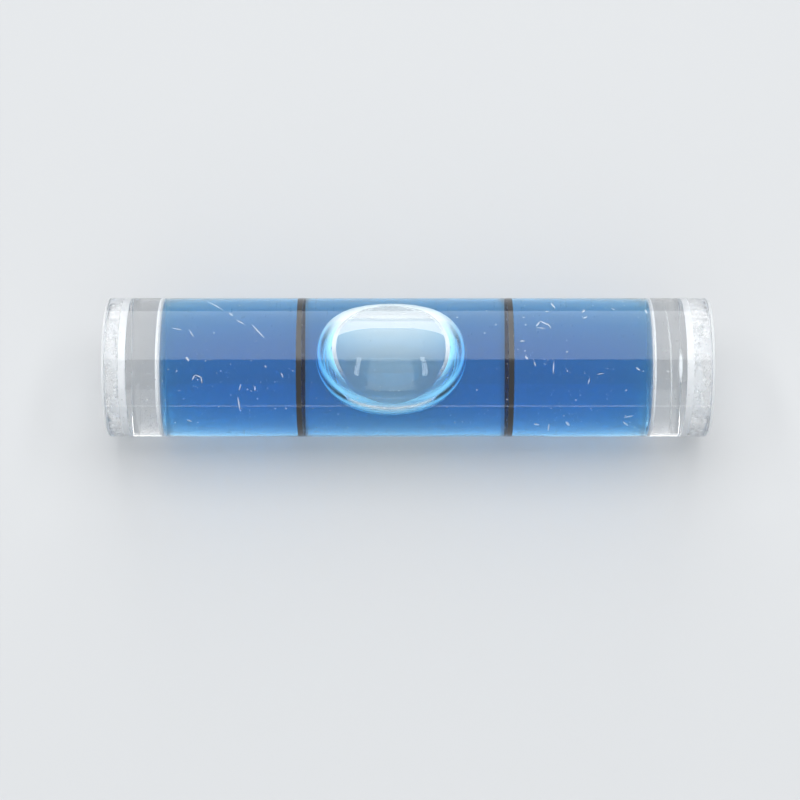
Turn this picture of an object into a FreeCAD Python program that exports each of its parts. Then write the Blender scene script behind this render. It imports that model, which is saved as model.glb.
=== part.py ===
import FreeCAD, Part
import math
import os
import Sketcher
from FreeCAD import Vector

# A tubular bubble level vial. Its axis lies along X with the bubble up, +Z, as it is fixed in a level.
# The origin is on the axis, halfway between the tube's ends.

# Driving dimensions in millimetres
SIZES = {
    # Clear acrylic tube, open at both ends
    "tube_length": 41.0,
    "tube_radius": 4.75,
    "seat_radius": 3.38,
    "barrel_rise": 0.13,
    "end_chamfer": 0.15,
    "mouth_chamfer": 0.1,
    # End plugs, set a little way into the tube
    "plug_thickness": 2.3,
    "plug_clearance": 0.02,
    "plug_chamfer": 0.12,
    "left_recess": 1.5,
    "right_recess": 1.75,
    # Cement bead round each plug's outer face
    "bead_along": 0.5,
    "bead_across": 0.42,
    # Black index lines, paint in a scribed groove
    "line_spacing": 14.22,
    "line_offset": -0.2,
    "line_width": 0.36,
    "line_depth": 0.06,
    # Spirit
    "spirit_clearance": 0.01,
    # Bubble, at rest a little left of the lines' middle
    "bubble_offset": -1.15,
    "bubble_length": 10.3,
    "bubble_width": 6.2,
    "bubble_height": 4.6,
    "bubble_end_radius": 2.7,
    "bubble_film": 0.13,
    "bubble_belly_round": 2.45,
    "bubble_shoulder_chamfer": 1.15,
}

doc = FreeCAD.newDocument("bubble_level_vial")
sheet = doc.addObject("Spreadsheet::Sheet", "Sizes")
for row, (alias, value) in enumerate(SIZES.items(), start=1):
    sheet.set(f"A{row}", alias)
    sheet.set(f"B{row}", str(value))
    sheet.setAlias(f"B{row}", alias)
doc.recompute()


class Size:
    """A length that holds its value and its expression in the sheet, so that a drawing obeys both."""

    def __init__(self, value, text):
        self.value = value
        self.text = text

    def combine(self, sign, other, value):
        return Size(value, f"({self.text} {sign} {other.text})")

    def __add__(self, other):
        return self.combine("+", other, self.value + other.value)

    def __sub__(self, other):
        return self.combine("-", other, self.value - other.value)

    def __mul__(self, factor):
        return Size(self.value * factor, f"({self.text} * {factor})")

    def squared(self):
        return self.combine("*", self, self.value**2)

    def over(self, other):
        return self.combine("/", other, self.value / other.value)


def size(alias):
    return Size(float(sheet.get(alias)), f"Sizes.{alias}")


ZERO = Size(0.0, "0")
# How near two lengths lie when an edge is looked up by its place
SAME_PLACE = 1e-4


# Places along the axis that several pieces share
def side_of(end):
    return {-1: "left", 1: "right"}[end]


def tube_end(end):
    return size("tube_length") * (0.5 * end)


def plug_outer_face(end):
    return tube_end(end) - size(f"{side_of(end)}_recess") * end


def plug_inner_face(end):
    return plug_outer_face(end) - size("plug_thickness") * end


def line_centre(end):
    return size("line_offset") + size("line_spacing") * (0.5 * end)


# Drawing and feature functions
def new_body(label):
    body = doc.addObject("PartDesign::Body", label)
    body.Label = label
    return body


def origin_feature(body, role):
    return next(item for item in body.Origin.OriginFeatures if item.Role == role)


def new_sketch(body, name, plane):
    sketch = body.newObject("Sketcher::SketchObject", name)
    sketch.AttachmentSupport = [(origin_feature(body, plane), "")]
    sketch.MapMode = "FlatFace"
    return sketch


def hold(sketch, kind, *place, length):
    """Add a dimension whose value stays bound to the sheet."""
    index = sketch.addConstraint(Sketcher.Constraint(kind, *place, length.value))
    sketch.setExpression(f"Constraints[{index}]", length.text)


def chord_radius(chord, rise):
    """Radius of the arc that stands rise above a chord."""
    return (chord.squared() * 0.25 + rise.squared()).over(rise * 2)


def draw_outline(sketch, corners, rises=None):
    """Closed outline through corners, in anticlockwise order. The side after a corner in rises is an arc that
    stands that far out from its chord; the corner's entry is the chord and the rise."""
    rises = rises or {}
    points = [Vector(along.value, across.value, 0) for along, across in corners]
    sides = []
    for index, start in enumerate(points):
        finish = points[(index + 1) % len(points)]
        if index in rises:
            travel = (finish - start).normalize()
            outwards = Vector(travel.y, -travel.x, 0)
            middle = (start + finish) * 0.5 + outwards * rises[index][1].value
            sides.append(sketch.addGeometry(Part.Arc(start, middle, finish)))
        else:
            sides.append(sketch.addGeometry(Part.LineSegment(start, finish)))
    for index, (along, across) in enumerate(corners):
        sketch.addConstraint(Sketcher.Constraint("Coincident", sides[index - 1], 2, sides[index], 1))
        hold(sketch, "DistanceX", -1, 1, sides[index], 1, length=along)
        hold(sketch, "DistanceY", -1, 1, sides[index], 1, length=across)
    for index, (chord, rise) in rises.items():
        hold(sketch, "Radius", sides[index], length=chord_radius(chord, rise))


def box_corners(left, right, low, high):
    return [(left, low), (right, low), (right, high), (left, high)]


def turned_feature(body, kind, sketch, name):
    """Revolve a section a full turn about the tube's axis, to add or to cut."""
    feature = body.newObject(kind, name)
    feature.Profile = sketch
    feature.ReferenceAxis = (sketch, ["H_Axis"])
    feature.Angle = 360
    sketch.Visibility = False
    doc.recompute()
    return feature


def circle_edges(shape, radius, places):
    """Names of the round edges of one radius that stand square to the axis at the given places."""
    names = []
    for number, edge in enumerate(shape.Edges, start=1):
        curve = edge.Curve
        if not isinstance(curve, Part.Circle) or abs(curve.Radius - radius) > SAME_PLACE:
            continue
        if any(abs(curve.Center.x - place) < SAME_PLACE for place in places):
            names.append(f"Edge{number}")
    return names


def chamfer_edges(body, name, names, width):
    base = body.Tip
    chamfer = body.newObject("PartDesign::Chamfer", name)
    chamfer.Base = (base, names)
    chamfer.setExpression("Size", width.text)
    doc.recompute()


def round_edges(body, name, names, radius):
    base = body.Tip
    fillet = body.newObject("PartDesign::Fillet", name)
    fillet.Base = (base, names)
    fillet.setExpression("Radius", radius.text)
    doc.recompute()


# Tube: turned outside, barrel-shaped inside so that the bubble seeks the highest point of the curve
def draw_barrel(sketch, left, right, end_radius):
    """Section of the barrel's inside, from the axis out: its side rises from both ends to the middle."""
    long_side = 2
    corners = box_corners(left, right, ZERO, end_radius)
    draw_outline(sketch, corners, {long_side: (right - left, size("barrel_rise"))})


def make_tube():
    body = new_body("vial_tube")
    blank = new_sketch(body, "TubeSection", "XZ_Plane")
    draw_outline(blank, box_corners(tube_end(-1), tube_end(1), size("seat_radius"), size("tube_radius")))
    turned_feature(body, "PartDesign::Revolution", blank, "TubeBlank")

    barrel = new_sketch(body, "BarrelSection", "XZ_Plane")
    draw_barrel(barrel, plug_inner_face(-1), plug_inner_face(1), size("seat_radius"))
    turned_feature(body, "PartDesign::Groove", barrel, "BarrelBore")

    groove = new_sketch(body, "IndexGrooveSection", "XZ_Plane")
    half_width = size("line_width") * 0.5
    draw_outline(
        groove,
        box_corners(
            line_centre(-1) - half_width,
            line_centre(-1) + half_width,
            size("tube_radius") - size("line_depth"),
            size("tube_radius") + size("line_depth"),
        ),
    )
    first = turned_feature(body, "PartDesign::Groove", groove, "IndexGroove")
    pair = body.newObject("PartDesign::LinearPattern", "IndexGrooves")
    pair.Originals = [first]
    pair.Direction = (groove, ["H_Axis"])
    pair.Occurrences = 2
    pair.setExpression("Length", size("line_spacing").text)
    body.Tip = pair
    doc.recompute()

    ends = [tube_end(-1).value, tube_end(1).value]
    outer = circle_edges(body.Shape, size("tube_radius").value, ends)
    chamfer_edges(body, "EndChamfers", outer, size("end_chamfer"))
    mouths = circle_edges(body.Shape, size("seat_radius").value, ends)
    chamfer_edges(body, "MouthChamfers", mouths, size("mouth_chamfer"))
    return body


# Plugs: turned acrylic discs pushed into the bore up to the barrel's ends
def make_plug(end):
    body = new_body(f"{side_of(end)}_end_plug")
    section = new_sketch(body, "PlugSection", "XZ_Plane")
    radius = size("seat_radius") - size("plug_clearance")
    draw_outline(section, box_corners(plug_inner_face(end), plug_outer_face(end), ZERO, radius))
    turned_feature(body, "PartDesign::Revolution", section, "PlugDisc")
    rims = circle_edges(body.Shape, radius.value, [plug_inner_face(end).value])
    chamfer_edges(body, "LeadIn", rims, size("plug_chamfer"))
    return body


# Cement: a three-cornered ring, drawn up between the plug's outer face and the bore
def make_bead(end):
    body = new_body(f"{side_of(end)}_cement_bead")
    section = new_sketch(body, "BeadSection", "XZ_Plane")
    face = plug_outer_face(end)
    corners = [
        (face, size("seat_radius")),
        (face + size("bead_along") * end, size("seat_radius")),
        (face, size("seat_radius") - size("bead_across")),
    ]
    draw_outline(section, corners)
    turned_feature(body, "PartDesign::Revolution", section, "Bead")
    return body


# Index lines: paint that fills the scribed grooves flush
def make_index_line(end):
    body = new_body(f"{side_of(end)}_index_line")
    section = new_sketch(body, "LineSection", "XZ_Plane")
    half_width = size("line_width") * 0.5
    draw_outline(
        section,
        box_corners(
            line_centre(end) - half_width,
            line_centre(end) + half_width,
            size("tube_radius") - size("line_depth"),
            size("tube_radius"),
        ),
    )
    turned_feature(body, "PartDesign::Revolution", section, "PaintRing")
    return body


# Bubble: an air pocket with an oval plan, a rounded belly, bevelled shoulders and a crown that follows
# the bore
def draw_oval(sketch, length, width, end_radius, centre):
    """Oval of four tangent arcs: two small ends and two long sides."""
    half_length = length * 0.5
    half_width = width * 0.5
    reach = half_length - end_radius
    side_radius = (reach.squared() + half_width.squared() - end_radius.squared()).over(
        (half_width - end_radius) * 2
    )
    drop = side_radius - half_width
    turn = math.atan2(drop.value, reach.value)
    ends = []
    for end in (-1, 1):
        middle = Vector(centre.value + end * reach.value, 0, 0)
        facing = 0 if end > 0 else math.pi
        arc = Part.ArcOfCircle(
            Part.Circle(middle, Vector(0, 0, 1), end_radius.value), facing - turn, facing + turn
        )
        geometry = sketch.addGeometry(arc)
        hold(sketch, "DistanceX", -1, 1, geometry, 3, length=centre + reach * end)
        sketch.addConstraint(Sketcher.Constraint("PointOnObject", geometry, 3, -1))
        ends.append(geometry)
    hold(sketch, "Radius", ends[0], length=end_radius)
    sketch.addConstraint(Sketcher.Constraint("Equal", ends[0], ends[1]))
    sides = []
    for side in (-1, 1):
        middle = Vector(centre.value, -side * drop.value, 0)
        facing = side * math.pi / 2
        spread = math.pi / 2 - turn
        arc = Part.ArcOfCircle(
            Part.Circle(middle, Vector(0, 0, 1), side_radius.value), facing - spread, facing + spread
        )
        sides.append(sketch.addGeometry(arc))
    left, right = ends
    near, far = sides
    for one, one_point, other, other_point in (
        (near, 2, right, 1), (right, 2, far, 1), (far, 2, left, 1), (left, 2, near, 1)
    ):
        sketch.addConstraint(Sketcher.Constraint("Tangent", one, one_point, other, other_point))
    hold(sketch, "Radius", near, length=side_radius)


def edges_at_height(shape, height):
    """Names of the edges that lie all at one height."""
    names = []
    for number, edge in enumerate(shape.Edges, start=1):
        box = edge.BoundBox
        if abs(box.ZMin - height) < SAME_PLACE and abs(box.ZMax - height) < SAME_PLACE:
            names.append(f"Edge{number}")
    return names


def make_bubble():
    body = new_body("air_bubble")
    crown_radius = size("seat_radius") + size("barrel_rise") - size("bubble_film")
    floor_height = crown_radius - size("bubble_height")

    plan = new_sketch(body, "BubblePlan", "XY_Plane")
    plan.setExpression("AttachmentOffset.Base.z", floor_height.text)
    draw_oval(
        plan, size("bubble_length"), size("bubble_width"), size("bubble_end_radius"), size("bubble_offset")
    )
    pad = body.newObject("PartDesign::Pad", "AirColumn")
    pad.Profile = plan
    column_height = size("bubble_height") + size("bubble_film")
    pad.setExpression("Length", column_height.text)
    plan.Visibility = False
    doc.recompute()
    belly = edges_at_height(body.Shape, floor_height.value)
    round_edges(body, "BellyRound", belly, size("bubble_belly_round"))
    shoulder = edges_at_height(body.Shape, floor_height.value + column_height.value)
    chamfer_edges(body, "ShoulderChamfer", shoulder, size("bubble_shoulder_chamfer"))

    trim = new_sketch(body, "CrownTrimSection", "XZ_Plane")
    draw_outline(
        trim,
        box_corners(
            size("bubble_offset") - size("bubble_length"),
            size("bubble_offset") + size("bubble_length"),
            crown_radius,
            crown_radius * 2,
        ),
    )
    turned_feature(body, "PartDesign::Groove", trim, "Crown")
    return body


# Spirit: it fills the barrel between the plugs, all but the bubble
def make_spirit(bubble):
    full = new_body("spirit_and_bubble")
    section = new_sketch(full, "SpiritSection", "XZ_Plane")
    clearance = size("spirit_clearance")
    draw_barrel(
        section,
        plug_inner_face(-1) + clearance,
        plug_inner_face(1) - clearance,
        size("seat_radius") - clearance,
    )
    turned_feature(full, "PartDesign::Revolution", section, "FilledBarrel")
    spirit = doc.addObject("Part::Cut", "spirit_fill")
    spirit.Label = "spirit_fill"
    spirit.Base = full
    spirit.Tool = bubble
    doc.recompute()
    return spirit


bubble = make_bubble()
pieces = [make_tube()]
for end in (-1, 1):
    pieces.append(make_plug(end))
    pieces.append(make_bead(end))
    pieces.append(make_index_line(end))
pieces.append(make_spirit(bubble))
pieces.append(bubble)
doc.recompute()

for item in doc.Objects:
    if "Invalid" in item.State or "Error" in item.State:
        raise RuntimeError(f"{item.Label} did not build: {item.State}")
for piece in pieces:
    if piece.Shape.isNull() or not piece.Shape.isValid() or len(piece.Shape.Solids) != 1:
        raise RuntimeError(f"{piece.Label} is not one sound solid")

os.makedirs("parts", exist_ok=True)
for piece in pieces:
    piece.Shape.exportStep(f"parts/{piece.Label}.step")
    print(f"{piece.Label}: {piece.Shape.Volume:.3f} mm3")
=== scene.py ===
import math

import bpy
import numpy as np
from mathutils import Matrix, Vector


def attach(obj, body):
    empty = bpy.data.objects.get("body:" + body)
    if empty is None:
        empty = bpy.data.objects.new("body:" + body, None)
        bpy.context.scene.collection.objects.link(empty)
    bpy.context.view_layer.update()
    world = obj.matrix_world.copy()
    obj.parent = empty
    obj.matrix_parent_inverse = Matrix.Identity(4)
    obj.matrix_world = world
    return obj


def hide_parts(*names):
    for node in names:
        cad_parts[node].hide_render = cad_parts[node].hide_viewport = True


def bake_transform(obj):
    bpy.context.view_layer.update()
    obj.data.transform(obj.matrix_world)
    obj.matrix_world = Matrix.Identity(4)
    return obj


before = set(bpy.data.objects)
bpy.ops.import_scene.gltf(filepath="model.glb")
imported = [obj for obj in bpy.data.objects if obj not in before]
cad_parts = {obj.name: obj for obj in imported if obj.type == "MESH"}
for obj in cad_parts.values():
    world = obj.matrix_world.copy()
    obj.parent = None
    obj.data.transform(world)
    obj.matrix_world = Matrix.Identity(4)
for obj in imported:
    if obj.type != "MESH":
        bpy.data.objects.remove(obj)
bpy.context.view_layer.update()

# Tube: extruded clear acrylic, turned square at both ends, with a barrel bore that rises 0.13 mm to its
# middle and two shallow scribed grooves for the index lines. The bore is wet with spirit between the
# plugs and with cement round them, so that only its dry parts bend the light.
MM = 0.001
TUBE_HALF_LENGTH = 20.5
TUBE_RADIUS = 4.75
SEAT_RADIUS = 3.38
BARREL_RISE = 0.13
END_CHAMFER = 0.15
MOUTH_CHAMFER = 0.1
PLUG_INNER = (-16.7, 16.45)
PLUG_OUTER = (-19.0, 18.75)
LINE_CENTRES = (-7.31, 6.91)
LINE_HALF_WIDTH = 0.18
GROOVE_DEPTH = 0.06
FACETS_ROUND = 256
BARREL_STEPS = 40
ACRYLIC_IOR = 1.49
FROST_WHITE = (0.94, 0.96, 0.97, 1)

# How far the cement wets the bore beyond the left plug and beyond the right one, and how far past an
# edge a mask reaches so that rounding can't miss it
CEMENT_WET = (0.5, 0.45)
PAST_EDGE = 0.01

# Each nick or scratch of handling: place along the tube, degrees round it from the top towards the
# front, heading, half length, half width and how white it is.
HANDLING_MARKS = (
    (-13.03, -41, 48, 1.02, 0.050, 0.8),
    (-11.92, -28, 47, 0.26, 0.060, 0.7),
    (-11.25, -19, 35, 0.47, 0.050, 0.6),
    (-10.05, -10, 51, 0.83, 0.045, 1.0),
    (-15.48, -12, 13, 0.44, 0.040, 0.8),
    (-14.50, -8, 60, 0.45, 0.040, 0.6),
    (-14.72, 14, 53, 0.21, 0.080, 1.0),
    (-14.32, 29, -60, 0.25, 0.060, 0.7),
    (-13.98, 28, 24, 0.32, 0.050, 0.8),
    (-13.79, 31, 83, 0.30, 0.050, 0.6),
    (-11.23, 37, 106, 0.31, 0.050, 0.6),
    (-11.33, 52, 84, 0.64, 0.060, 1.0),
    (-10.23, 38, 92, 0.22, 0.050, 0.8),
    (-9.52, 20, 62, 0.09, 0.070, 0.6),
    (-8.41, 27, 69, 0.22, 0.060, 0.6),
    (-14.73, 70, 33, 0.25, 0.070, 0.7),
    (8.72, -17, -56, 0.31, 0.060, 0.8),
    (9.15, -18, 31, 0.43, 0.060, 1.0),
    (9.48, -15, 65, 0.29, 0.050, 0.7),
    (8.91, -13, 7, 0.42, 0.040, 0.6),
    (9.81, -41, 73, 0.50, 0.080, 0.7),
    (9.38, -32, 0, 0.17, 0.060, 0.6),
    (11.83, -32, -57, 0.25, 0.070, 0.8),
    (11.90, -24, -19, 0.19, 0.060, 0.7),
    (13.85, -35, 46, 0.22, 0.050, 0.7),
    (7.64, -1, 0, 0.21, 0.060, 0.6),
    (7.90, 13, 46, 0.18, 0.070, 0.9),
    (8.46, 18, 69, 0.23, 0.060, 0.5),
    (9.70, 21, 94, 0.50, 0.050, 0.7),
    (12.84, 26, -8, 0.30, 0.040, 0.6),
    (12.07, 32, 105, 0.31, 0.040, 0.6),
    (15.34, 22, 37, 0.21, 0.060, 0.8),
    (8.68, 75, 18, 0.23, 0.090, 1.0),
    (9.51, 80, 91, 0.61, 0.060, 0.7),
    (10.77, 74, 64, 0.33, 0.100, 1.0),
    (14.83, 65, -17, 0.39, 0.060, 0.8),
    (14.68, 74, 51, 0.38, 0.080, 0.8),
    (16.05, -32, 78, 0.30, 0.070, 0.8),
)
# The same for a white frosted patch in the right recess, a painted reflection of the room's light
RECESS_REFLECTION_PATCH = (19.5, 30, 90, 0.9, 0.45, 1.0)
MARK_STRENGTH = 1.7
WHITEST_MARK = 0.75

# Grit: specks to the millimetre, and the radius of the largest as a share of their spacing
GRIT_SIZES = ((1.5, 0.1), (3.3, 0.13))
GRIT_WHITENESS = 0.5


def select_only(*pieces):
    """Deselect everything else and make the last piece the active one."""
    bpy.ops.object.select_all(action="DESELECT")
    for piece in pieces:
        piece.select_set(True)
    bpy.context.view_layer.objects.active = pieces[-1]


def start_outline(name, along, across):
    """A new mesh of one vertex, in edit mode, at a place in the section plane: X along, Z across."""
    bpy.ops.object.select_all(action="DESELECT")
    bpy.ops.mesh.primitive_plane_add(size=MM, location=(0, 0, 0))
    piece = bpy.context.object
    piece.name = name
    bpy.ops.object.mode_set(mode="EDIT")
    bpy.ops.mesh.merge(type="CENTER")
    bpy.ops.transform.translate(value=(along * MM, 0, across * MM))
    return piece


def draw_to(step_along, step_across):
    bpy.ops.mesh.extrude_region_move(
        TRANSFORM_OT_translate={"value": (step_along * MM, 0, step_across * MM)}
    )


def draw_line(corners):
    """Draw on from the first corner, where the pen is, through the rest."""
    for start, finish in zip(corners, corners[1:]):
        draw_to(finish[0] - start[0], finish[1] - start[1])


def barrel_radius(along):
    middle = (PLUG_INNER[0] + PLUG_INNER[1]) / 2
    half = (PLUG_INNER[1] - PLUG_INNER[0]) / 2
    return SEAT_RADIUS + BARREL_RISE * (1 - ((along - middle) / half) ** 2)


def barrel_corners(start, finish, inset, steps):
    """Points along the barrel's side, a little inside the acrylic where inset is above zero."""
    return [(x, barrel_radius(x) - inset) for x in np.linspace(start, finish, steps + 1)]


def finish_turning(piece, smooth_degrees=30):
    """Close the drawn section, spin it round the tube's axis and leave edit mode."""
    bpy.ops.mesh.select_all(action="SELECT")
    bpy.ops.mesh.remove_doubles(threshold=1e-8)
    bpy.ops.mesh.select_all(action="SELECT")
    bpy.ops.mesh.spin(steps=FACETS_ROUND, angle=2 * math.pi, center=(0, 0, 0), axis=(1, 0, 0))
    bpy.ops.mesh.select_all(action="SELECT")
    bpy.ops.mesh.remove_doubles(threshold=1e-7)
    bpy.ops.mesh.normals_make_consistent(inside=False)
    bpy.ops.object.mode_set(mode="OBJECT")
    select_only(piece)
    bpy.ops.object.shade_smooth_by_angle(angle=math.radians(smooth_degrees))


class Wire:
    """An output of a node. Arithmetic on it adds the Math nodes that work it out."""

    def __init__(self, finish, socket):
        self.finish = finish
        self.socket = socket

    def of(self, output):
        """Another output of the same node."""
        return Wire(self.finish, self.socket.node.outputs[output])

    def maths(self, operation, *values):
        return self.finish.add("ShaderNodeMath", {"operation": operation}, dict(enumerate(values)))

    def __add__(self, other):
        return self.maths("ADD", self, other)

    def __sub__(self, other):
        return self.maths("SUBTRACT", self, other)

    def __rsub__(self, other):
        return self.maths("SUBTRACT", other, self)

    def __mul__(self, other):
        return self.maths("MULTIPLY", self, other)

    def __truediv__(self, other):
        return self.maths("DIVIDE", self, other)

    def __pow__(self, other):
        return self.maths("POWER", self, other)

    def __lt__(self, other):
        return self.maths("LESS_THAN", self, other)

    def __gt__(self, other):
        return self.maths("GREATER_THAN", self, other)

    def __abs__(self):
        return self.maths("ABSOLUTE", self)

    def at_least(self, other):
        return self.maths("MAXIMUM", self, other)

    def at_most(self, other):
        return self.maths("MINIMUM", self, other)

    __radd__ = __add__
    __rmul__ = __mul__


class Finish:
    """A material, or the world. Each of its nodes comes from add, settings first and then sockets."""

    def __init__(self, name, kind="materials"):
        self.owner = getattr(bpy.data, kind).new(name)
        self.owner.use_nodes = True
        self.tree = self.owner.node_tree
        self.tree.nodes.clear()

    def add(self, kind, settings=None, sockets=None, output=0):
        node = self.tree.nodes.new(kind)
        for setting, value in (settings or {}).items():
            setattr(node, setting, value)
        for socket, value in (sockets or {}).items():
            if isinstance(value, Wire):
                self.tree.links.new(value.socket, node.inputs[socket])
            else:
                node.inputs[socket].default_value = value
        return Wire(self, node.outputs[output]) if len(node.outputs) else None

    def place(self):
        """Where a point lies on the object, in metres."""
        return self.add("ShaderNodeTexCoord").of("Object")

    def blended(self, factor, first, second):
        """Two colours, blended."""
        sockets = {"Factor": factor, "A": first, "B": second}
        return self.add("ShaderNodeMix", {"data_type": "RGBA"}, sockets, "Result")

    def mixed(self, factor, first, second):
        """Two shaders, mixed."""
        return self.add("ShaderNodeMixShader", {}, {0: factor, 1: first, 2: second})

    def surface(self, shader, volume=None):
        """Wire the shader to the output and hand the material over."""
        sockets = {"Surface": shader}
        if volume:
            sockets["Volume"] = volume
        self.add("ShaderNodeOutputMaterial", {}, sockets)
        return self.owner


def between(value, low, high):
    return (value > low) * (value < high)


def ramp(value, low, high):
    """From 0 to 1 as the value goes from low to high."""
    return value.finish.add("ShaderNodeMapRange", {}, {"Value": value, "From Min": low, "From Max": high})


def distance_from_axis(finish, place):
    parts = finish.add("ShaderNodeSeparateXYZ", {}, {0: place})
    return (parts.of("Y") * parts.of("Y") + parts.of("Z") * parts.of("Z")) ** 0.5


def along_axis(finish, place):
    return finish.add("ShaderNodeSeparateXYZ", {}, {0: place}).of("X")


def turn_tube():
    ends = TUBE_HALF_LENGTH
    mouth = SEAT_RADIUS + MOUTH_CHAMFER
    start = (-ends + END_CHAMFER, TUBE_RADIUS)
    tube = start_outline("clear_tube", *start)
    outline = [start]
    for centre in LINE_CENTRES:
        for x, radius in (
            (centre - LINE_HALF_WIDTH, TUBE_RADIUS),
            (centre - LINE_HALF_WIDTH, TUBE_RADIUS - GROOVE_DEPTH),
            (centre + LINE_HALF_WIDTH, TUBE_RADIUS - GROOVE_DEPTH),
            (centre + LINE_HALF_WIDTH, TUBE_RADIUS),
        ):
            outline.append((x, radius))
    outline += [
        (ends - END_CHAMFER, TUBE_RADIUS),
        (ends, TUBE_RADIUS - END_CHAMFER),
        (ends, mouth),
        (ends - MOUTH_CHAMFER, SEAT_RADIUS),
        (PLUG_OUTER[1], SEAT_RADIUS),
    ]
    outline += barrel_corners(PLUG_INNER[1], PLUG_INNER[0], 0, BARREL_STEPS)
    outline += [
        (PLUG_OUTER[0], SEAT_RADIUS),
        (-ends + MOUTH_CHAMFER, SEAT_RADIUS),
        (-ends, mouth),
        (-ends, TUBE_RADIUS - END_CHAMFER),
        start,
    ]
    draw_line(outline)
    finish_turning(tube)
    return tube


def laid_flat(finish, place, radius):
    """A round side unrolled, in millimetres: X along the tube, Y from the top round to the front."""
    parts = finish.add("ShaderNodeSeparateXYZ", {}, {0: place})
    turn = parts.maths("ARCTAN2", 0 - parts.of("Y"), parts.of("Z"))
    return finish.add("ShaderNodeCombineXYZ", {}, {"X": parts.of("X") / MM, "Y": turn * radius})


def nick(finish, flat, radius, along, degrees, heading, half_length, half_width, whiteness):
    """One mark on a round side: a thin ellipse, whitest down its middle."""
    ellipse = finish.add(
        "ShaderNodeMapping",
        {"vector_type": "TEXTURE"},
        {
            "Vector": flat,
            "Location": (along, math.radians(degrees) * radius, 0),
            "Rotation": (0, 0, math.radians(heading)),
            "Scale": (half_length, half_width, 1),
        },
    )
    reach = finish.add("ShaderNodeVectorMath", {"operation": "LENGTH"}, {0: ellipse}).of("Value")
    return (1 - reach) * (MARK_STRENGTH * whiteness)


def handling_wear(finish, place):
    """Where the outside is marked: the single nicks, and fine grit scattered all over."""
    flat = laid_flat(finish, place, TUBE_RADIUS)
    worn = nick(finish, flat, TUBE_RADIUS, *HANDLING_MARKS[0])
    for mark in HANDLING_MARKS[1:]:
        worn = worn.at_least(nick(finish, flat, TUBE_RADIUS, *mark))
    for cells_per_mm, largest in GRIT_SIZES:
        grit = finish.add(
            "ShaderNodeTexVoronoi", {"voronoi_dimensions": "2D"}, {"Vector": flat, "Scale": cells_per_mm}
        )
        size = (grit.of("Color") - 0.5) * (2 * largest)
        worn = worn.at_least((grit.of("Distance") < size) * GRIT_WHITENESS)
    return worn.at_most(WHITEST_MARK).at_least(0)


def draw_streaks(finish, place):
    """Fine lines that extrusion leaves along the tube, as a bump: long along it and fine across it."""
    stretched = finish.add("ShaderNodeMapping", {}, {"Vector": place, "Scale": (6, 1400, 1400)})
    lines = finish.add("ShaderNodeTexNoise", {}, {"Vector": stretched, "Scale": 1, "Detail": 3})
    return finish.add("ShaderNodeBump", {}, {"Strength": 0.14, "Distance": 0.05 * MM, "Height": lines})


def frosted(finish, place):
    """Acrylic that a saw or a boring bar has left dull and white."""
    chatter = finish.add("ShaderNodeTexNoise", {}, {"Vector": place, "Scale": 2600, "Detail": 3})
    ridges = finish.add("ShaderNodeBump", {}, {"Strength": 0.5, "Distance": 0.03 * MM, "Height": chatter})
    return finish.add(
        "ShaderNodeBsdfPrincipled",
        {},
        {
            "Base Color": FROST_WHITE,
            "Roughness": 0.35 + chatter * 0.4,
            "Transmission Weight": 0.3,
            "IOR": ACRYLIC_IOR,
            "Normal": ridges,
        },
    )


def clear_acrylic():
    finish = Finish("clear_acrylic")
    place = finish.place()
    radius = distance_from_axis(finish, place)
    along = along_axis(finish, place)
    from_middle = abs(along)
    on_bore = radius < (SEAT_RADIUS + TUBE_RADIUS) / 2 * MM
    on_outside = radius > (TUBE_RADIUS - GROOVE_DEPTH / 2) * MM
    streaks = draw_streaks(finish, place)
    clear = finish.add("ShaderNodeBsdfGlass", {}, {"IOR": ACRYLIC_IOR, "Roughness": 0, "Normal": streaks})
    dull = frosted(finish, place)
    sawn = from_middle > (TUBE_HALF_LENGTH - END_CHAMFER - PAST_EDGE) * MM
    blotches = finish.add(
        "ShaderNodeTexNoise", {}, {"Vector": place, "Scale": 700, "Detail": 4, "Roughness": 0.7}
    )
    patchy = ((blotches - 0.4) * 5).at_least(0.25).at_most(1)
    # The right recess's patch is a painted reflection, frosted white like the bored mottle that it joins
    painted_reflection = nick(finish, laid_flat(finish, place, SEAT_RADIUS), SEAT_RADIUS, *RECESS_REFLECTION_PATCH)
    bored_and_reflection = on_bore * (from_middle > PLUG_OUTER[1] * MM) * patchy.at_least(painted_reflection)
    worn = on_outside * handling_wear(finish, place)
    spoiled_and_reflection = sawn.at_least(bored_and_reflection).at_least(worn)
    wet_start, wet_end = PLUG_OUTER[0] - CEMENT_WET[0], PLUG_OUTER[1] + CEMENT_WET[1]
    wet_bore = on_bore * between(along, wet_start * MM, wet_end * MM)
    seam = finish.add("ShaderNodeBsdfTransparent")
    return finish.surface(finish.mixed(wet_bore, finish.mixed(spoiled_and_reflection, clear, dull), seam))


tube = turn_tube()
tube.data.materials.append(clear_acrylic())
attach(tube, "vial")
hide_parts("vial_tube")

# End plugs: clear acrylic discs with a small lead-in chamfer, pushed in up to the barrel's ends and
# cemented. Their sides and inner faces are wet all over, so only the outer faces show as surfaces.
PLUG_CLEARANCE = 0.02
LEAD_IN = 0.12
FACE_RING = 0.6
CEMENT_WHITE = (0.93, 0.97, 1, 1)

# How far the set cement reaches from the inner face along each plug's side, and how deep both it and
# the smears on the side go
CEMENT_REACH = (0.28, 0.22)
CEMENT_DEPTH = 0.16
SMEAR_DEPTH = 0.06

# Each smear: place along the tube, degrees round it, heading, half length, half width and whiteness
CEMENT_SMEARS = (
    (),
    ((18.3, 20, 90, 1.2, 0.17, 1.0), (17.66, 20, 88, 6.5, 0.08, 0.4)),
)
WHITEST_CEMENT = 0.95


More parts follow.
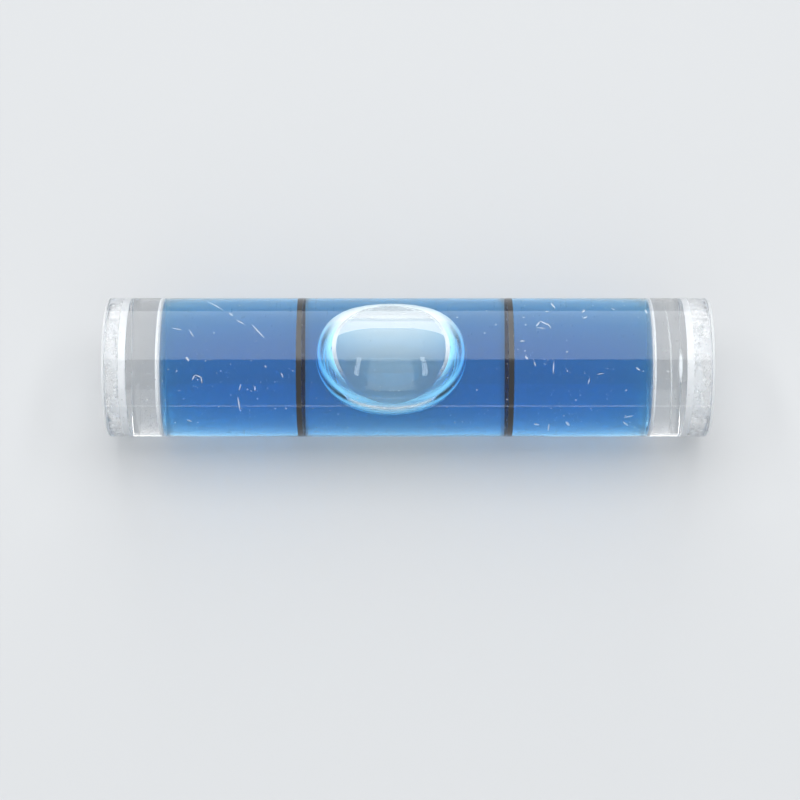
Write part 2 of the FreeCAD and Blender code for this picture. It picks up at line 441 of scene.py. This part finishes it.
def turn_plug(name, inner, outer):
    step = math.copysign(1, outer - inner)
    radius = SEAT_RADIUS - PLUG_CLEARANCE
    corners = [
        (inner, 0),
        (inner, radius - LEAD_IN),
        (inner + step * LEAD_IN, radius),
        (outer, radius),
        (outer, radius * FACE_RING),
        (outer, 0),
    ]
    plug = start_outline(name, *corners[0])
    draw_line(corners)
    finish_turning(plug)
    return plug


def plug_acrylic(name, inner, outer, cement_reach, smears):
    finish = Finish(name)
    place = finish.place()
    radius = distance_from_axis(finish, place)
    along = along_axis(finish, place)
    side = SEAT_RADIUS - PLUG_CLEARANCE
    rings = finish.add(
        "ShaderNodeTexWave",
        {"wave_type": "RINGS", "rings_direction": "X"},
        {"Vector": place, "Scale": 1500, "Distortion": 1.5, "Detail": 2},
    ).of("Fac")
    turned = finish.add("ShaderNodeBump", {}, {"Strength": 0.15, "Distance": 0.01 * MM, "Height": rings})
    clear = finish.add("ShaderNodeBsdfGlass", {}, {"IOR": ACRYLIC_IOR, "Roughness": 0.04, "Normal": turned})
    seam = finish.add("ShaderNodeBsdfTransparent")
    wet = (along > (outer + PAST_EDGE) * MM) if outer < 0 else (along < (outer - PAST_EDGE) * MM)
    set_cement = finish.add(
        "ShaderNodeBsdfPrincipled", {}, {"Base Color": CEMENT_WHITE, "Roughness": 0.5, "IOR": ACRYLIC_IOR}
    )
    low, high = sorted((inner, inner + math.copysign(cement_reach, outer)))
    in_reach = between(along, (low - PAST_EDGE) * MM, (high + PAST_EDGE) * MM)
    cloudy = finish.add("ShaderNodeTexNoise", {}, {"Vector": place, "Scale": 1200, "Detail": 3})
    cemented = (radius > (side - CEMENT_DEPTH) * MM) * in_reach * (0.75 + cloudy * 0.3)
    grain = finish.add("ShaderNodeTexNoise", {}, {"Vector": place, "Scale": 6000, "Detail": 2})
    on_inner_face = between(along, (inner - 2 * PAST_EDGE) * MM, (inner + 2 * PAST_EDGE) * MM)
    dull = cemented.at_least(on_inner_face * (0.15 + grain * 0.25))
    flat = laid_flat(finish, place, SEAT_RADIUS)
    for smear in smears:
        dull = dull.at_least((radius > (side - SMEAR_DEPTH) * MM) * nick(finish, flat, SEAT_RADIUS, *smear))
    acrylic = finish.mixed(wet, clear, seam)
    return finish.surface(finish.mixed(dull.at_most(WHITEST_CEMENT), acrylic, set_cement))


for side, inner, outer, cement_reach, smears in zip(
    ("left", "right"), PLUG_INNER, PLUG_OUTER, CEMENT_REACH, CEMENT_SMEARS
):
    plug = turn_plug(f"{side}_clear_plug", inner, outer)
    plug.data.materials.append(plug_acrylic(f"{side}_plug_acrylic", inner, outer, cement_reach, smears))
    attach(plug, "vial")
    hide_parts(f"{side}_end_plug")

# Cement beads: solvent cement that was drawn up between each plug's outer face and the bore and set
# there, whitish and ragged along its inner edge.
BEAD_ALONG = 0.48
BEAD_ACROSS = 0.42
BEAD_WHITE = (0.95, 0.97, 0.98, 1)

# How far the loose edge of the left bead and of the right one wanders, the level that its lumps are
# measured from, their size, and how far from the bore the edge starts to be loose
RAGGEDNESS = (0.35, 0.2)
LUMP_LEVEL = (0.5, 0.55)
LUMP_SIZE = 0.9
LOOSE_FROM = 0.05
BEAD_CLEARANCE = 0.004


def turn_bead(name, outer, raggedness, level):
    step = math.copysign(1, outer)
    rim = SEAT_RADIUS - BEAD_CLEARANCE
    corners = [
        (outer, rim),
        (outer + step * BEAD_ALONG, rim),
        (outer + step * BEAD_ALONG * 0.42, rim - BEAD_ACROSS * 0.32),
        (outer + step * BEAD_ALONG * 0.12, rim - BEAD_ACROSS * 0.7),
        (outer, rim - BEAD_ACROSS),
        (outer, rim),
    ]
    bead = start_outline(name, *corners[0])
    draw_line(corners)
    finish_turning(bead, 60)
    lumps = bpy.data.textures.new(name, "CLOUDS")
    lumps.noise_scale = LUMP_SIZE * MM
    lumps.noise_depth = 2
    group = bead.vertex_groups.new(name="loose_edge")
    loose = [v.index for v in bead.data.vertices if v.co.yz.length < (rim - LOOSE_FROM) * MM]
    group.add(loose, 1, "REPLACE")
    ruffle = bead.modifiers.new("ruffle", "DISPLACE")
    ruffle.texture = lumps
    ruffle.texture_coords = "LOCAL"
    ruffle.vertex_group = "loose_edge"
    ruffle.strength = raggedness * MM
    ruffle.mid_level = level
    bpy.ops.object.modifier_apply(modifier="ruffle")
    return bead


def cloudy_cement():
    finish = Finish("cloudy_cement")
    place = finish.place()
    clouds = finish.add("ShaderNodeTexNoise", {}, {"Vector": place, "Scale": 1800, "Detail": 4})
    body = finish.add(
        "ShaderNodeBsdfPrincipled",
        {},
        {
            "Base Color": BEAD_WHITE,
            "Roughness": 0.3 + clouds * 0.3,
            "Transmission Weight": 0.05,
            "IOR": ACRYLIC_IOR,
        },
    )
    return finish.surface(body)


cement = cloudy_cement()
for side, outer, raggedness, level in zip(("left", "right"), PLUG_OUTER, RAGGEDNESS, LUMP_LEVEL):
    bead = turn_bead(f"{side}_cement", outer, raggedness, level)
    bead.data.materials.append(cement)
    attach(bead, "vial")
    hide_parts(f"{side}_cement_bead")

# Index lines: black paint wiped into the scribed grooves all the way round, flush with the outside but
# for a slight crown. It grips the acrylic, so it is seen through the tube with no gap.
GRIP = 0.01
CROWN = 0.002
PAINT_BLACK = (0.004, 0.004, 0.005, 1)


def paint_line(name, centre):
    half = LINE_HALF_WIDTH
    floor = TUBE_RADIUS - GROOVE_DEPTH
    corners = [
        (centre - half - GRIP, floor - GRIP),
        (centre + half + GRIP, floor - GRIP),
        (centre + half, TUBE_RADIUS),
        (centre + half * 0.6, TUBE_RADIUS + CROWN),
        (centre - half * 0.6, TUBE_RADIUS + CROWN),
        (centre - half, TUBE_RADIUS),
        (centre - half - GRIP, floor - GRIP),
    ]
    line = start_outline(name, *corners[0])
    draw_line(corners)
    finish_turning(line)
    return line


def black_paint():
    finish = Finish("black_line_paint")
    place = finish.place()
    grain = finish.add("ShaderNodeTexNoise", {}, {"Vector": place, "Scale": 3000, "Detail": 3})
    rubbed = finish.add("ShaderNodeBump", {}, {"Strength": 0.3, "Distance": 0.02 * MM, "Height": grain})
    paint = finish.add(
        "ShaderNodeBsdfPrincipled",
        {},
        {
            "Base Color": PAINT_BLACK,
            "Roughness": 0.08 + grain * 0.12,
            "Specular IOR Level": 0.7,
            "Normal": rubbed,
        },
    )
    return finish.surface(paint)


paint = black_paint()
for side, centre in zip(("left", "right"), LINE_CENTRES):
    line = paint_line(f"{side}_painted_line", centre)
    line.data.materials.append(paint)
    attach(line, "vial")
    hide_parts(f"{side}_index_line")

# Spirit and bubble: blue-dyed spirit fills the barrel, and the air left in it makes one bubble under
# the bore's highest line, in the form that surface tension and buoyancy give it. One mesh is both skins
# of the liquid, so that the dye stops at the bubble. Its flanks carry painted light: rims that glow blue
# and white and a white outline, painted reflections of the light that they would throw back.
SPIRIT_IOR = 1.40
SPIRIT_CLEARANCE = 0.01
SPIRIT_STEPS = 60
DYE_PER_METRE = (460, 168, 48)
BUBBLE_MIDDLE = -1.15
BUBBLE_VOLUME = 168.0
BUBBLE_LENGTH = 10.3
BORE_AT_BUBBLE = 3.40
SURFACE_TENSION = 0.042
SPIRIT_DENSITY = 800.0
GRAVITY = 9.81
SQUARE_MM_PER_M2 = 1e6

# The ball that the bubble settles from: half its width and height, and its middle above the axis
BALL_WIDTH = 2.5
BALL_HEIGHT = 1.7
BALL_MIDDLE = 1.6
BALL_CUTS = 13
SETTLING_STEPS = 4000
TOUCHING = 2e-3

# Painted rims, which stand in for light reflected by the bubble's flanks: how far up the flank they are
# painted, as the height of its normal, and where the bore's hold on the skin fades out, along which a
# painted white highlight outlines the bubble. In front the rims are painted blue, and at the back white.
PAINTED_RIM_FLANK = (-0.45, 0.97)
SOFTER_HOLD = 3
HOLD_FADED = 0.7
OUTLINE = (0.69, 0.8)
OUTLINE_START = (-1.9, 0.2)
BACK_START = (0.6, 2.0)
BACK_SHARE = 0.85

# The painted blue in front lies in bands from the bottom of the flank to its top, and is weaker at the
# middle of the bubble's length than at its sides
BAND_MEAN = 0.42
BAND_SWING = 0.33
BAND_TURNS = 13
MIDDLE_SHARE = 0.4
SIDE_START = (1.2, 3.4)
PAINTED_RIM_BLUE = (0.45, 0.95, 1, 1)
PAINTED_RIM_WHITE = (0.93, 0.93, 0.92, 1)
PAINTED_GLOW_BLUE = (0.08, 0.4, 1, 1)
PAINTED_GLOW_WHITE = (0.45, 0.48, 0.5, 1)


def turn_spirit():
    left, right = PLUG_INNER[0] + SPIRIT_CLEARANCE, PLUG_INNER[1] - SPIRIT_CLEARANCE
    corners = [(left, 0)] + barrel_corners(left, right, SPIRIT_CLEARANCE, SPIRIT_STEPS) + [(right, 0)]
    spirit = start_outline("blue_spirit", *corners[0])
    draw_line(corners)
    finish_turning(spirit)
    return spirit


def settle(points, quads, volume, capillary_area, bore):
    """Move the points of a closed mesh to where a bubble of that volume rests under the roof of the bore.
    Lengths are in millimetres; capillary_area is surface tension over density and gravity."""
    step_size, evening, longest_move = 0.006, 0.2, 0.05
    faces = np.vstack([quads[:, [0, 1, 2]], quads[:, [0, 2, 3]]])
    edges = np.vstack([quads[:, [0, 1]], quads[:, [1, 2]], quads[:, [2, 3]], quads[:, [3, 0]]])
    count = len(points)
    neighbours = np.bincount(edges.ravel(), minlength=count)[:, None]

    def gathered(indices, values):
        sums = [np.bincount(indices, weights=values[:, axis], minlength=count) for axis in range(3)]
        return np.stack(sums, 1)

    def held_in_bore(places):
        radius = np.hypot(places[:, 1], places[:, 2])
        places[:, 1:] *= np.minimum(1, bore / np.maximum(radius, 1e-9))[:, None]
        return places

    points = held_in_bore(points)
    for _ in range(SETTLING_STEPS):
        a, b, c = points[faces[:, 0]], points[faces[:, 1]], points[faces[:, 2]]
        cross = np.cross(b - a, c - a)
        double_area = np.linalg.norm(cross, axis=1) + 1e-12
        facing = cross / double_area[:, None]
        pull = gathered(faces[:, 0], np.cross(facing, c - b))
        pull += gathered(faces[:, 1], np.cross(facing, a - c))
        pull += gathered(faces[:, 2], np.cross(facing, b - a))
        outwards = sum(gathered(faces[:, corner], cross) for corner in range(3))
        outwards /= np.linalg.norm(outwards, axis=1)[:, None]
        shares = [np.bincount(faces[:, corner], weights=double_area, minlength=count) for corner in range(3)]
        area = sum(shares) / 6
        inside = np.einsum("ij,ij->i", a, np.cross(b, c)).sum() / 6
        push = points[:, 2] / capillary_area - 0.5 * np.einsum("ij,ij->i", pull, outwards) / area
        free = area * (np.hypot(points[:, 1], points[:, 2]) < bore - TOUCHING)
        pressure = (volume - inside - (push * free).sum()) / free.sum()
        around = gathered(edges[:, 0], points[edges[:, 1]]) + gathered(edges[:, 1], points[edges[:, 0]])
        drift = around / neighbours - points
        drift -= np.einsum("ij,ij->i", drift, outwards)[:, None] * outwards
        move = np.clip(step_size * (push + pressure), -longest_move, longest_move)
        points = points + move[:, None] * outwards + evening * drift
        points[:, 0] -= (points[:, 0].max() + points[:, 0].min()) / 2
        points = held_in_bore(points)
    return points


def blow_bubble():
    bpy.ops.object.select_all(action="DESELECT")
    bpy.ops.mesh.primitive_cube_add(size=2, location=(0, 0, 0))
    bubble = bpy.context.object
    bubble.name = "bubble_skin"
    bpy.ops.object.mode_set(mode="EDIT")
    bpy.ops.mesh.subdivide(number_cuts=BALL_CUTS)
    bpy.ops.object.mode_set(mode="OBJECT")
    ball = bubble.modifiers.new("ball", "CAST")
    ball.factor = 1
    bpy.ops.object.modifier_apply(modifier="ball")
    places = np.empty(len(bubble.data.vertices) * 3)
    bubble.data.vertices.foreach_get("co", places)
    ball_places = places.reshape(-1, 3)
    ball_places /= np.linalg.norm(ball_places, axis=1)[:, None]
    quads = np.array([polygon.vertices[:] for polygon in bubble.data.polygons])
    rough = ball_places * (BUBBLE_LENGTH / 2, BALL_WIDTH, BALL_HEIGHT) + (0, 0, BALL_MIDDLE)
    capillary_area = SURFACE_TENSION / (SPIRIT_DENSITY * GRAVITY) * SQUARE_MM_PER_M2
    settled = settle(rough, quads, BUBBLE_VOLUME, capillary_area, BORE_AT_BUBBLE)
    settled[:, 0] += BUBBLE_MIDDLE
    bubble.data.vertices.foreach_set("co", (settled * MM).ravel())
    bpy.ops.object.mode_set(mode="EDIT")
    bpy.ops.mesh.select_all(action="SELECT")
    bpy.ops.mesh.normals_make_consistent(inside=True)
    bpy.ops.object.mode_set(mode="OBJECT")
    facing = np.empty(len(settled) * 3, np.float32)
    bubble.data.vertex_normals.foreach_get("vector", facing)
    held = (np.hypot(settled[:, 1], settled[:, 2]) > BORE_AT_BUBBLE - TOUCHING).astype(np.float32)
    for _ in range(SOFTER_HOLD):
        of_quads = np.repeat(held[quads].mean(axis=1), 4)
        held = np.bincount(quads.ravel(), weights=of_quads) / np.bincount(quads.ravel())
    for name, values in (("flank", -facing[2::3]), ("held", held)):
        mark = bubble.data.attributes.new(name, "FLOAT", "POINT")
        mark.data.foreach_set("value", values.astype(np.float32))
    finer = bubble.modifiers.new("finer", "SUBSURF")
    finer.levels = finer.render_levels = 2
    bpy.ops.object.modifier_apply(modifier="finer")
    bpy.ops.object.shade_smooth()
    return bubble


def marked(finish, attribute):
    return finish.add("ShaderNodeAttribute", {"attribute_name": attribute}).of("Fac")


def blue_spirit_finish():
    finish = Finish("blue_spirit")
    place = finish.place()
    flank = marked(finish, "flank")
    held = marked(finish, "held")
    wetted = finish.add("ShaderNodeBsdfGlass", {}, {"IOR": SPIRIT_IOR / ACRYLIC_IOR, "Roughness": 0})
    clear = finish.add("ShaderNodeBsdfGlass", {}, {"IOR": SPIRIT_IOR, "Roughness": 0})
    across = finish.add("ShaderNodeSeparateXYZ", {}, {0: place}).of("Y") / MM
    from_middle = abs(along_axis(finish, place) / MM - BUBBLE_MIDDLE)
    at_back = ramp(across, *BACK_START)
    at_side = ramp(from_middle, *SIDE_START)
    # Painted light: a rough shader that glows blue in front and grey-white at the back, laid on the flanks
    # as a painted reflection for the bubble's bright rims
    painted_rim_glow = finish.add(
        "ShaderNodeBsdfPrincipled",
        {},
        {
            "Base Color": finish.blended(at_back, PAINTED_RIM_BLUE, PAINTED_RIM_WHITE),
            "Roughness": 0.5,
            "Emission Color": finish.blended(at_back, PAINTED_GLOW_BLUE, PAINTED_GLOW_WHITE),
            "Emission Strength": 0.6,
        },
    )
    # The painted rims' share of the skin: in bands up the flank, weaker mid-length, white at the back, and
    # left off where the bore holds the skin
    painted_bands = BAND_MEAN + flank.maths("COSINE", flank * BAND_TURNS) * BAND_SWING
    painted_bands = painted_bands * (MIDDLE_SHARE + at_side * (1 - MIDDLE_SHARE))
    painted_rim_zone = between(flank, *PAINTED_RIM_FLANK) * (held < HOLD_FADED)
    painted_rims = painted_rim_zone * (painted_bands + at_back * (BACK_SHARE - painted_bands))
    # A painted white highlight: a white diffuse line along the band where the bore's hold on the skin fades
    # out, absent in front and weaker at the back
    painted_white_highlight = finish.add("ShaderNodeBsdfDiffuse", {}, {"Color": (1, 1, 1, 1)})
    outline = between(held, *OUTLINE) * ramp(across, *OUTLINE_START) * (0.95 - at_back * 0.5)
    free = finish.mixed(outline, finish.mixed(painted_rims, clear, painted_rim_glow), painted_white_highlight)
    density = 1.05 * max(DYE_PER_METRE)
    left_over = [1 - share / density for share in DYE_PER_METRE]
    dye = finish.add("ShaderNodeVolumeAbsorption", {}, {"Color": (*left_over, 1), "Density": density})
    return finish.surface(finish.mixed(marked(finish, "air_side"), wetted, free), dye)


# The spirit and the bubble's skin are joined into one mesh, whose points keep their air_side marks:
# 1 on the bubble and 0 on the spirit
spirit = turn_spirit()
bubble_skin = blow_bubble()
spirit_finish = blue_spirit_finish()
for piece, share in ((spirit, 0.0), (bubble_skin, 1.0)):
    piece.data.materials.append(spirit_finish)
    mark = piece.data.attributes.new("air_side", "FLOAT", "POINT")
    mark.data.foreach_set("value", [share] * len(piece.data.vertices))
select_only(bubble_skin, spirit)
bpy.ops.object.join()
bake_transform(spirit)
marks = np.empty(len(spirit.data.vertices), np.float32)
spirit.data.attributes["air_side"].data.foreach_get("value", marks)
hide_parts("spirit_fill", "air_bubble")

# Floor: a plain pale sheet under the vial. It glows a little to the camera and through the acrylic,
# and keeps the vial's shadow and the blue light that falls through it.
FLOOR_GLOW = 0.12
FLOOR_SIZE = 6
FLOOR_PALE = (0.59, 0.6, 0.61, 1)
GLOW_PALE = (0.93, 0.97, 1, 1)


def seen_by_camera(finish):
    """1 for what the camera sees, straight, mirrored or through glass, and 0 for what only lights."""
    rays = finish.add("ShaderNodeLightPath")
    seen = rays.of("Is Camera Ray").at_least(rays.of("Is Glossy Ray"))
    return seen.at_least(rays.of("Is Transmission Ray"))


def pale_floor():
    finish = Finish("pale_floor")
    matte = finish.add(
        "ShaderNodeBsdfPrincipled",
        {},
        {"Base Color": FLOOR_PALE, "Roughness": 0.6, "Specular IOR Level": 0.2},
    )
    glow = finish.add("ShaderNodeEmission", {}, {"Color": GLOW_PALE, "Strength": 1})
    return finish.surface(finish.mixed(seen_by_camera(finish) * FLOOR_GLOW, matte, glow))


bpy.ops.object.select_all(action="DESELECT")
bpy.ops.mesh.primitive_plane_add(size=FLOOR_SIZE, location=(0, 0, -TUBE_RADIUS * MM))
floor = bpy.context.object
floor.name = "floor"
floor.data.materials.append(pale_floor())

# Studio light: soft boxes in an arc over the vial, from the zenith down to the horizon behind it, with
# a thin strip low in front, a weak fill above that which gloss doesn't mirror, and a narrow strip high
# up to the left and right. The bubble's floor mirrors those two as its bright streaks.
ROOM_LIGHT = (0.3, 0.31, 0.32, 1)
PALE_BACKGROUND = (0.8, 0.83, 0.86, 1)
studio = Finish("studio", "worlds")
surroundings = studio.blended(seen_by_camera(studio), ROOM_LIGHT, PALE_BACKGROUND)
background = studio.add("ShaderNodeBackground", {}, {"Color": surroundings})
studio.add("ShaderNodeOutputWorld", {}, {"Surface": background})
bpy.context.scene.world = studio.owner


def on_arc(degrees, reach):
    """A place on the arc over the vial, from 0 at the front horizon to 180 at the back one."""
    turn = math.radians(degrees)
    return -reach * math.cos(turn), reach * math.sin(turn)


def soft_box(name, low_degrees, high_degrees, half_width, radiance, reach=0.55, middle=0.0):
    """A flat lamp between two places on the arc, in metres, that faces the vial."""
    low = Vector((middle, *on_arc(low_degrees, reach)))
    high = Vector((middle, *on_arc(high_degrees, reach)))
    centre = (low + high) / 2
    up = (high - low).normalized()
    away = centre - centre.project(up)
    away = Vector((0, away.y, away.z)).normalized()
    lamp = bpy.data.lights.new(name, "AREA")
    lamp.shape = "RECTANGLE"
    lamp.size = 2 * half_width
    lamp.size_y = (high - low).length
    lamp.energy = radiance * math.pi * lamp.size * lamp.size_y
    box = bpy.data.objects.new(name, lamp)
    bpy.context.scene.collection.objects.link(box)
    box.visible_camera = False
    box.matrix_world = Matrix.Translation(centre) @ Matrix((up.cross(away), up, away)).transposed().to_4x4()
    return box


TOP_BOX_START = 82.3
soft_box("top_box", TOP_BOX_START, 135, 0.17, 2.4)
soft_box("back_box", 135, 176, 0.17, 2.1)
soft_box("front_strip", 1.2, 3.8, 0.3, 2.2)
soft_box("front_fill", 20, 75, 0.3, 0.9).visible_glossy = False
for name, middle in (("top_strip_1", -0.3), ("top_strip_3", 0.3)):
    soft_box(name, TOP_BOX_START, 122, 0.034, 8.5, reach=0.53, middle=middle)

# Camera: above and in front of the vial, looking down at it at the photo's angle, with a long lens and
# the photo's framing, in which the vial lies a little above the middle.
CAMERA_ELEVATION = math.radians(70)
CAMERA_DISTANCE = 173 * MM
AIM_ALONG = -0.54 * MM
AIM_BELOW = 2.24 * MM
line_of_sight = Vector((0, math.cos(CAMERA_ELEVATION), -math.sin(CAMERA_ELEVATION)))
up_in_view = Vector((0, math.sin(CAMERA_ELEVATION), math.cos(CAMERA_ELEVATION)))
aim = Vector((AIM_ALONG, 0, 0)) - AIM_BELOW * up_in_view
camera_data = bpy.data.cameras.new("camera")
camera_data.lens = 113.5
camera_data.sensor_width = 36
camera_data.clip_start = 0.01
camera_data.clip_end = 20
camera = bpy.data.objects.new("camera", camera_data)
bpy.context.scene.collection.objects.link(camera)
camera.location = aim - CAMERA_DISTANCE * line_of_sight
camera.rotation_euler = line_of_sight.to_track_quat("-Z", "Y").to_euler()
bpy.context.scene.camera = camera
bpy.context.scene.view_settings.view_transform = "Standard"
